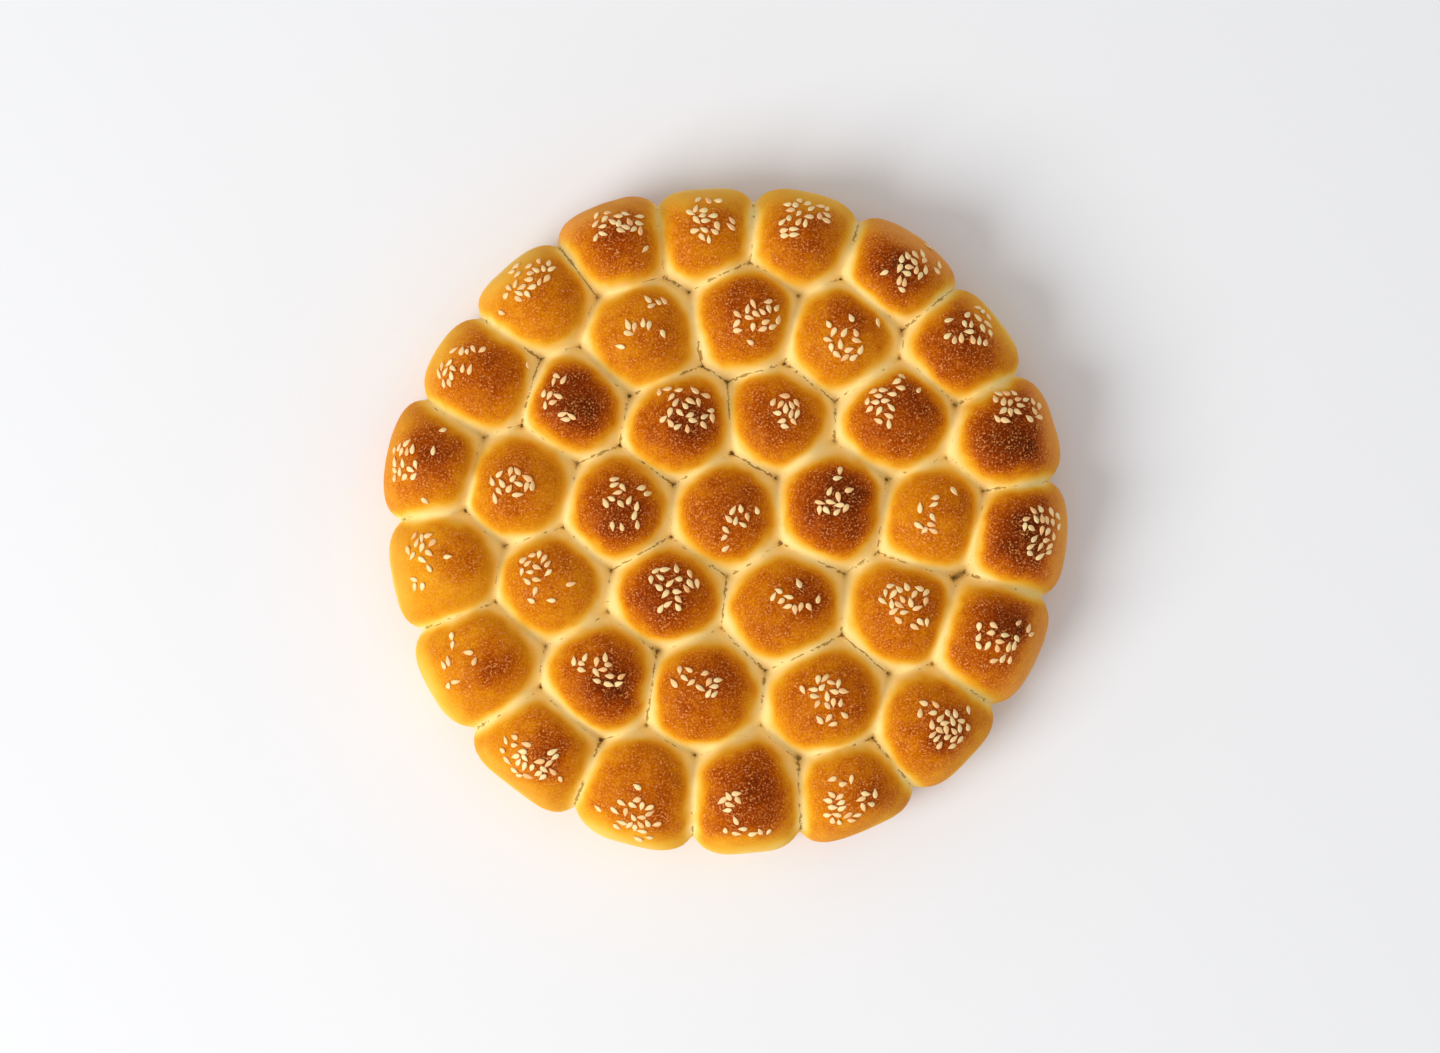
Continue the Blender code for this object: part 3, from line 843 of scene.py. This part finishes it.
@dataclass(frozen=True)
class Baking:
    """How the oven browned the tops, and how the tin baked the sides and the underside.

    Insets are in mm.
    """

    seam_reach: float = 1.0 * MM
    broad_wobble: Waves = Waves(0.9 * MM, 7.0 * MM, 4)
    fine_wobble: Waves = Waves(0.4 * MM, 2.5 * MM, 5)
    shoulder_insets: tuple[float, ...] = (-1.0, 0.0, 1.0, 2.0, 3.0, 4.5)
    shoulder_browning: tuple[float, ...] = (0.0, 0.03, 0.13, 0.26, 0.37, 0.46)
    top_insets: tuple[float, ...] = (2.0, 4.0, 6.0, 8.0, 10.0, 13.0)
    top_shares: tuple[float, ...] = (0.0, 0.30, 0.62, 0.82, 0.93, 1.0)
    rim_band: float = 3.5 * MM
    rim_reach: Span = (1.5 * MM, 14.5 * MM)
    rim_patches: Waves = Waves(0.05, 9.0 * MM, 9)
    rim_mottle: Waves = Waves(0.05, 3.5 * MM, 10)
    # How far the painted rim sheen and shade hold back the rim's paling.
    sheen_and_shade_hold: float = 0.9
    side_paling: float = 0.35
    side_levels: Span = (10.0 * MM, 24.0 * MM)
    under_browning: float = 0.42
    under_patches: Waves = Waves(0.12, 16.0 * MM, 6)
    under_mottle: Waves = Waves(0.08, 5.0 * MM, 7)
    under_seam: float = 3.0 * MM
    foot_waves: Waves = Waves(1.6 * MM, 11.0 * MM, 8)
    foot_levels: Span = (0.5 * MM, 7.5 * MM)
    # Patches and inward reach of the painted rim sheen and shade.
    sheen_and_shade_patches: Waves = Waves(0.35, 13.0 * MM, 11)
    sheen_and_shade_reach: Span = (2.0 * MM, 12.0 * MM)

    def browning(self, points: Array, found: dict[str, Array]) -> Array:
        """Return how brown the crust is at each point, 0 in the seams and 1 on the darkest tops.

        The inset is the distance to the nearest seam. Browning climbs with the inset, and the
        bun's bake sets how far it climbs. Toward the tin's wall it falls to the rim's bake, and
        it pales in the outermost band, less where the painted rim sheen and shade are strong and less lower
        down the side.
        The lowest part is brown where it lay on the hot tin.

        Args:
            points: the crust's points.
            found: each point's bun, from nearest_bun.

        Returns:
            One value from 0 to 1 for each point.
        """
        level = points[:, 2]
        wobble = self.broad_wobble.at(points) + self.fine_wobble.at(points)
        inset = np.minimum(found["inset"], found["seam"] + self.seam_reach) + wobble
        shoulder = np.interp(inset, np.array(self.shoulder_insets) * MM, self.shoulder_browning)
        risen = np.interp(inset, np.array(self.top_insets) * MM, self.top_shares)
        top = shoulder + (found["bake"] - self.shoulder_browning[-1]) * risen
        beside = 1.0 - ease(0.0, self.rim_band, found["edge"])
        uneven = self.rim_patches.at(points) + beside * self.rim_mottle.at(points)
        paling = self.side_paling + (1.0 - self.side_paling) * ease(*self.side_levels, level)
        # Where the painted rim sheen and shade are strong, the rim pales less.
        paling = (1.0 - self.sheen_and_shade_hold * found["rim_sheen_and_shade_strength"]) * paling
        rim = np.minimum(top, found["rim_bake"] * (1.0 - paling * beside) + uneven)
        top = rim + (top - rim) * ease(*self.rim_reach, found["edge"] + wobble)
        under = self.under_browning + self.under_patches.at(points) + self.under_mottle.at(points)
        under = under * ease(0.0, self.under_seam, found["seam"])
        low = 1.0 - ease(*self.foot_levels, level + self.foot_waves.at(points))
        return np.clip(top * (1.0 - low) + under * low, 0.0, 1.0)

    def dulling(self, points: Array, found: dict[str, Array]) -> Array:
        """Return how strong the painted rim sheen and shade are at each point, fading inward from the rim.
        """
        strength = found["rim_sheen_and_shade_strength"] * (1.0 + self.sheen_and_shade_patches.at(points))
        return strength * (1.0 - ease(*self.sheen_and_shade_reach, found["edge"]))


@dataclass
class Crust:
    """The whole loaf's surface: the pressed balls fused, softened at the seams and roughened."""

    dough: Dough = Dough()
    baking: Baking = Baking()
    finish: CrustFinish = CrustFinish()
    crumb_radius: float = 108.0 * MM
    crumb_bottom: float = 2.5 * MM
    crumb_top: float = 20.0 * MM
    crumb_columns: int = 48
    seam_softness: float = 2.4 * MM
    seam_rounds: int = 14
    seam_pull: float = 0.6
    pit_radius: float = 1.8 * MM
    pit_hold: float = 0.6
    notch_pull: float = 0.15
    notch_levels: Span = (22.0 * MM, 30.0 * MM)
    foot_levels: Span = (1.0 * MM, 4.0 * MM)
    swell: Waves = Waves(0.35 * MM, 14.0 * MM, 1)
    ripple: Waves = Waves(0.10 * MM, 4.0 * MM, 2)
    skin: Waves = Waves(0.03 * MM, 1.6 * MM, 3)
    relief_levels: Span = (0.2 * MM, 5.0 * MM)
    # These fade the painted crease shade out on the sides and the underside.
    crease_shade_levels: Span = (12.0 * MM, 22.0 * MM)
    crease_shade_loss: float = 3.0
    crease_shade_limit: float = 4.0

    def pressed_buns(self) -> list[PressedBun]:
        """Return every bun's pressed form."""
        return [PressedBun(bun, self.dough) for bun in ALL_BUNS]

    def crumb(self) -> bpy.types.Object:
        """Make the round crumb that closes the pits where three buns meet.

        Returns:
            The crumb, a plain disc.
        """
        ring = all_round(self.crumb_columns) * self.crumb_radius
        flat = np.concatenate(([[0.0, 0.0]], ring, ring, [[0.0, 0.0]]))
        levels = np.repeat((self.crumb_top, self.crumb_bottom), self.crumb_columns + 1)
        return new_mesh_object("crumb", np.column_stack((flat, levels)), ball_faces(2, self.crumb_columns))

    def fused(self, buns: list[PressedBun]) -> bpy.types.Object:
        """Fuse all balls and the crumb into one closed crust.

        Args:
            buns: every pressed bun.

        Returns:
            The crust, without its relief and its material.
        """
        pieces = bpy.data.collections.new("balls")
        bpy.context.scene.collection.children.link(pieces)
        crust = self.crumb()
        for number, pressed in enumerate(buns, start=1):
            pieces.objects.link(pressed.ball("ball_%02d" % number))
        union = crust.modifiers.new("union", "BOOLEAN")
        union.operation = "UNION"
        union.solver = "MANIFOLD"
        union.operand_type = "COLLECTION"
        union.collection = pieces
        shaped = crust.evaluated_get(bpy.context.evaluated_depsgraph_get())
        mesh = bpy.data.meshes.new_from_object(shaped)
        crust.modifiers.clear()
        crust.data = mesh
        for ball in list(pieces.objects):
            bpy.data.objects.remove(ball, do_unlink=True)
        bpy.data.collections.remove(pieces)
        crust.name = "crust"
        mesh.name = "crust"
        return crust

    def nearest_bun(self, points: Array, buns: list[PressedBun]) -> dict[str, Array]:
        """Find which bun each point belongs to, and where it lies on that bun.

        Args:
            points: the crust's points.
            buns: every pressed bun.

        Returns:
            The share of the bun's reach, the distances to its nearest and second nearest seam,
            its rounded inset, the distance to the tin's wall, its bake, and its rim's bake and
            the strength of its painted rim sheen and shade, one value for each point.
        """
        names = ("seam", "corner", "inset", "edge", "bake", "rim_bake", "rim_sheen_and_shade_strength")
        found = {name: np.zeros(len(points)) for name in names}
        found["share"] = np.full(len(points), np.inf)
        for pressed in buns:
            offsets = points[:, :2] - pressed.pole
            close = np.flatnonzero(np.hypot(*offsets.T) < 2.0 * self.dough.mean_radius)
            share = pressed.share(offsets[close])
            better = share < found["share"][close]
            chosen = close[better]
            found["share"][chosen] = share[better]
            mine = offsets[chosen]
            values = (*pressed.seam_distances(mine), pressed.inset(mine), pressed.edge(mine),
                      pressed.bake_at(mine), *pressed.bun.edge.value)
            for name, value in zip(names, values):
                found[name][chosen] = value
        return found

    def soften_seams(self, points: Array, edges: Array, found: dict[str, Array]) -> Array:
        """Round the sharp seams by moving their points toward the mean of their neighbours.

        The pull fades as a bell curve of the distance to the seam. The pits where three buns
        meet are kept: there the second nearest seam is near too. So are the notches between
        outer buns, which lie lower, and the foot.

        Args:
            points: the crust's points.
            edges: the numbers of each edge's two points.
            found: each point's bun, from nearest_bun.

        Returns:
            The moved points.
        """
        level = points[:, 2]
        weight = self.seam_pull * np.exp(-(found["seam"] / self.seam_softness) ** 2)
        weight *= ease(*self.foot_levels, level)
        weight *= 1.0 - self.pit_hold * np.exp(-(found["corner"] / self.pit_radius) ** 2)
        weight *= self.notch_pull + (1.0 - self.notch_pull) * ease(*self.notch_levels, level)
        starts = np.concatenate((edges[:, 0], edges[:, 1]))
        ends = np.concatenate((edges[:, 1], edges[:, 0]))
        touching = np.bincount(starts, minlength=len(points))
        for _ in range(self.seam_rounds):
            sums = [np.bincount(starts, points[ends, axis], len(points)) for axis in range(3)]
            means = np.stack(sums, axis=1) / touching[:, None]
            points = points + weight[:, None] * (means - points)
        return points

    def relief(self, points: Array) -> Array:
        """Return how far the crust stands out at each point: swells, ripples and skin."""
        height = self.swell.at(points) + self.ripple.at(points) + self.skin.at(points)
        return height * ease(*self.relief_levels, points[:, 2])

    def build(self) -> bpy.types.Object:
        """Build the crust, keep its browning, seams and painted rim sheen and shade on its points, and
        dress it.

        The kept seam distances are in mm. Lower down they are raised, so that no painted crease shade shows
        on the sides and the underside.

        Returns:
            The finished crust.
        """
        buns = self.pressed_buns()
        crust = self.fused(buns)
        mesh = crust.data
        points = read_rows(mesh.vertices, "co", 3)
        found = self.nearest_bun(points, buns)
        softened = self.soften_seams(points, read_rows(mesh.edges, "vertices", 2, int), found)
        mesh.vertices.foreach_set("co", softened.ravel())
        mesh.update()
        normals = read_rows(mesh.vertex_normals, "vector", 3)
        raised = softened + normals * self.relief(softened)[:, None]
        raised[:, 2] = np.maximum(raised[:, 2], 0.0)
        mesh.vertices.foreach_set("co", raised.ravel())
        away = found["seam"] / MM + self.crease_shade_loss * (1.0 - ease(*self.crease_shade_levels, points[:, 2]))
        keep_on_points(mesh, browning=self.baking.browning(points, found),
                       seam=np.minimum(away, self.crease_shade_limit), dulling=self.baking.dulling(points, found))
        mesh.update()
        mesh.shade_smooth()
        mesh.materials.clear()
        mesh.materials.append(self.finish.material())
        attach(crust, BODY)
        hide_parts(SOLID)
        LOG.info("crust: %d points, %d faces", len(mesh.vertices), len(mesh.polygons))
        return crust


@dataclass(frozen=True)
class SeedFinish:
    """Toasted sesame: cream to golden, a little darker toward the pointed tip."""

    pale: tuple = linear(255, 225, 162)
    golden: tuple = linear(255, 191, 124)
    tip: tuple = linear(246, 166, 98)
    mottle_size: float = 0.8 * MM
    mottling: float = 0.5
    tip_range: tuple = (0.6, 1.0, 0.0, 0.5)

    def material(self) -> bpy.types.Material:
        """Build the material: each seed its own tone, with fine mottling and a darker tip.

        Returns:
            The seeds' material.
        """
        board = NodeBoard("sesame")
        mottle = board.about_zero(board.noise(self.mottle_size), self.mottling)
        tone = board.math("ADD", board.attribute("tone"), mottle, clamp=True)
        body = board.blend(tone, self.pale, self.golden)
        tip = board.spread(board.attribute("tip"), *self.tip_range)
        board.feed(board.shader, {
            "Base Color": board.blend(tip, body, self.tip),
            "Roughness": 0.45,
            "Specular IOR Level": 0.35,
            "Subsurface Weight": 0.15,
            "Subsurface Radius": (1.0, 0.6, 0.3),
            "Subsurface Scale": 0.8 * MM,
        })
        return board.material


@dataclass
class SesameSeeds:
    """All sesame seeds as one piece: flat teardrops scattered in patches on the buns."""

    finish: SeedFinish = SeedFinish()
    length: float = 3.4 * MM
    width: float = 2.05 * MM
    thickness: float = 0.75 * MM
    flatness: float = 0.34
    point_share: float = 0.50
    point_start: float = -0.4
    point_end: float = 1.06
    rows: int = 6
    columns: int = 8
    gap: float = 1.75 * MM
    half_spine: float = 0.65 * MM
    patch_reach: float = 1.1
    patch_limit: float = 1.15
    gathering: float = 0.3
    beside_gaps: Span = (1.1, 1.7)
    slope_step: float = 0.3 * MM
    sink: float = 0.12 * MM
    tilt_spread: float = 0.12
    size_spread: float = 0.08
    size_limits: Span = (0.82, 1.2)
    tone_middle: float = 0.30
    tone_spread: float = 0.28
    draws: int = 800
    random_seed: int = 2024

    def teardrop(self) -> tuple[Array, list, Array]:
        """Work out one seed of unit half length.

        Rows run along the seed's length. Their radius is the square root of one minus the place
        along it squared, narrowed toward the pointed end. A power flattens both faces.

        Returns:
            The points, the faces, and each point's place along the seed from 0 to 1 at the tip.
        """
        turn = np.linspace(0.0, math.pi, self.rows + 2)[1:-1]
        along = np.cos(turn)
        radius = np.sin(turn) * (1.0 - self.point_share * ease(self.point_start, 1.0, along))
        around = np.linspace(0.0, math.tau, self.columns, endpoint=False) + math.pi / self.columns
        upward = np.sign(np.sin(around)) * np.abs(np.sin(around)) ** self.flatness
        ring = np.stack((np.broadcast_to(along[:, None], (self.rows, self.columns)),
                         radius[:, None] * np.cos(around), radius[:, None] * upward), axis=2)
        points = np.concatenate(([[self.point_end, 0.0, 0.0]], ring.reshape(-1, 3), [[-1.0, 0.0, 0.0]]))
        shares = (points[:, 0] + 1.0) / (self.point_end + 1.0)
        return points, ball_faces(self.rows, self.columns), shares

    def places(self, buns: list[PressedBun], draw: np.random.Generator) -> dict[str, Array]:
        """Choose where the seeds lie and point: spots drawn in each patch, clear of each other.

        A seed is clear when both ends of its spine are a gap away from those of the seeds that
        lie there. Some are drawn beside such a seed, so they gather.

        Args:
            buns: every pressed bun.
            draw: where the random numbers come from.

        Returns:
            Each seed's bun, its offset from the bun's pole and its turn.
        """
        rows = []
        for number, pressed in enumerate(buns):
            shift = pressed.centre - pressed.pole
            spines = np.empty((0, 2, 2))
            for patch in pressed.bun.patches:
                middle = shift + np.array((patch.right, patch.up)) * MM
                half = np.array((patch.half_width, patch.half_height)) * MM
                placed = 0
                for _ in range(self.draws):
                    toward, yaw = direction(draw.uniform(0.0, 360.0)), draw.uniform(0.0, 360.0)
                    spot = middle + self.patch_reach * half * math.sqrt(draw.random()) * toward
                    if placed and draw.random() < self.gathering:
                        beside = spines[-draw.integers(1, placed + 1)].mean(axis=0)
                        spot = beside + toward * draw.uniform(*self.beside_gaps) * self.gap
                    spine = spot + np.outer((-self.half_spine, self.half_spine), direction(yaw))
                    gaps = np.linalg.norm(spine[:, None, None, :] - spines, axis=-1)
                    inside = np.hypot(*((spot - middle) / half)) < self.patch_limit
                    if placed < patch.count and inside and gaps.min(initial=1.0) > self.gap:
                        rows.append((number, *spot, yaw))
                        spines = np.concatenate((spines, spine[None]))
                        placed += 1
        table = np.array(rows)
        return {"bun": table[:, 0].astype(int), "offset": table[:, 1:3], "yaw": np.radians(table[:, 3])}

    def resting(self, buns: list[PressedBun], places: dict[str, Array]) -> tuple[Array, Array]:
        """Find where each seed rests on its bun's dome.

        Args:
            buns: every pressed bun.
            places: each seed's bun and offset, from places.

        Returns:
            The dome's point under each seed, and its outward direction there.
        """
        step = self.slope_step
        points = np.zeros((len(places["bun"]), 3))
        normals = np.zeros_like(points)
        for number, pressed in enumerate(buns):
            mine = places["bun"] == number
            offsets = places["offset"][mine]
            level = pressed.dome_level(offsets)
            slope = [(pressed.dome_level(offsets + shift) - level) / step for shift in np.eye(2) * step]
            upward = np.stack((-slope[0], -slope[1], np.ones(len(level))), axis=1)
            points[mine] = np.column_stack((offsets + pressed.pole, level))
            normals[mine] = unit(upward)
        return points, normals

    def build(self, crust: Crust) -> bpy.types.Object:
        """Lay every seed on the crust as one joined mesh.

        Args:
            crust: the loaf's crust.

        Returns:
            The finished seeds.
        """
        draw = np.random.default_rng(self.random_seed)
        buns = crust.pressed_buns()
        places = self.places(buns, draw)
        spots, normals = self.resting(buns, places)
        spots = spots + normals * crust.relief(spots)[:, None]
        count = len(spots)
        shape, faces, along = self.teardrop()
        yaw = places["yaw"]
        tilt = draw.normal(0.0, self.tilt_spread, (count, 2))
        upward = unit(normals + np.column_stack((tilt, np.zeros(count))))
        level = np.column_stack((np.cos(yaw), np.sin(yaw), np.zeros(count)))
        forward = unit(level - upward * (level * upward).sum(axis=1, keepdims=True))
        sideways = np.cross(upward, forward)
        size = np.clip(draw.normal(1.0, self.size_spread, (count, 3)), *self.size_limits)
        halves = size * np.array((self.length, self.width, self.thickness)) / 2.0
        scaled = shape[None, :, :] * halves[:, None, :]
        middle = spots + upward * (halves[:, 2] - self.sink)[:, None]
        points = (middle[:, None, :] + scaled[:, :, :1] * forward[:, None, :]
                  + scaled[:, :, 1:2] * sideways[:, None, :] + scaled[:, :, 2:] * upward[:, None, :])
        corners = len(shape)
        all_faces = [[corner + start for corner in face]
                     for start in range(0, count * corners, corners) for face in faces]
        seeds = new_mesh_object("sesame_seeds", points.reshape(-1, 3), all_faces)
        tone = np.clip(draw.normal(self.tone_middle, self.tone_spread, count), 0.0, 1.0)
        keep_on_points(seeds.data, tone=np.repeat(tone, corners), tip=np.tile(along, count))
        seeds.data.shade_smooth()
        seeds.data.materials.append(self.finish.material())
        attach(seeds, BODY)
        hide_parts(SOLID)
        LOG.info("sesame_seeds: %d seeds, %d faces", count, len(seeds.data.polygons))
        return seeds


@dataclass
class Studio:
    """The plain pale floor, the soft light from the lower left and the camera overhead."""

    sensor_width: float = 36.0
    focal_length: float = 62.95
    camera_place: tuple[float, float, float] = (-1.75 * MM, -2.1 * MM, 0.9)
    floor_size: float = 6.0
    floor_colour: tuple = linear(242, 243, 246)
    key_place: tuple[float, float, float] = (-1.92, -1.20, 1.84)
    key_size: float = 1.8
    key_power: float = 64.0
    key_colour: tuple[float, float, float] = (1.0, 0.99, 0.97)
    world_strength: float = 0.56

    def floor(self) -> bpy.types.Object:
        """Lay the floor under the loaf.

        Returns:
            The floor.
        """
        half = self.floor_size / 2.0
        corners = np.array(((-half, -half, 0.0), (half, -half, 0.0), (half, half, 0.0), (-half, half, 0.0)))
        floor = new_mesh_object("floor", corners, [[0, 1, 2, 3]])
        board = NodeBoard("floor")
        board.feed(board.shader, {"Base Color": self.floor_colour, "Roughness": 0.9,
                                  "Specular IOR Level": 0.1})
        floor.data.materials.append(board.material)
        return floor

    def camera(self) -> bpy.types.Object:
        """Hang the camera over the loaf, looking straight down.

        Returns:
            The camera.
        """
        lens = bpy.data.cameras.new("camera")
        lens.sensor_width = self.sensor_width
        lens.lens = self.focal_length
        camera = new_object("camera", lens)
        camera.location = self.camera_place
        bpy.context.scene.camera = camera
        return camera

    def lights(self) -> None:
        """Add the large soft light from the lower left and the even light all round."""
        lamp = bpy.data.lights.new("key", "AREA")
        lamp.shape = "DISK"
        lamp.size = self.key_size
        lamp.energy = self.key_power
        lamp.color = self.key_colour
        key = new_object("key", lamp)
        key.location = self.key_place
        away = np.array(self.key_place)
        key.rotation_euler = (math.acos(away[2] / np.linalg.norm(away)), 0.0,
                              math.atan2(away[1], away[0]) + math.pi / 2.0)
        world = bpy.data.worlds.new("studio")
        world.use_nodes = True
        background = world.node_tree.nodes["Background"]
        background.inputs["Color"].default_value = (1.0, 1.0, 1.0, 1.0)
        background.inputs["Strength"].default_value = self.world_strength
        bpy.context.scene.world = world

    def build(self) -> None:
        """Set the stage and keep colours as the lights give them."""
        self.floor()
        self.camera()
        self.lights()
        bpy.context.scene.view_settings.view_transform = "Standard"


def main() -> None:
    """Build the studio, the crust and the seeds."""
    logging.basicConfig(level=logging.INFO, format="%(message)s")
    Studio().build()
    crust = Crust()
    crust.build()
    SesameSeeds().build(crust)


if __name__ == "__main__":
    main()
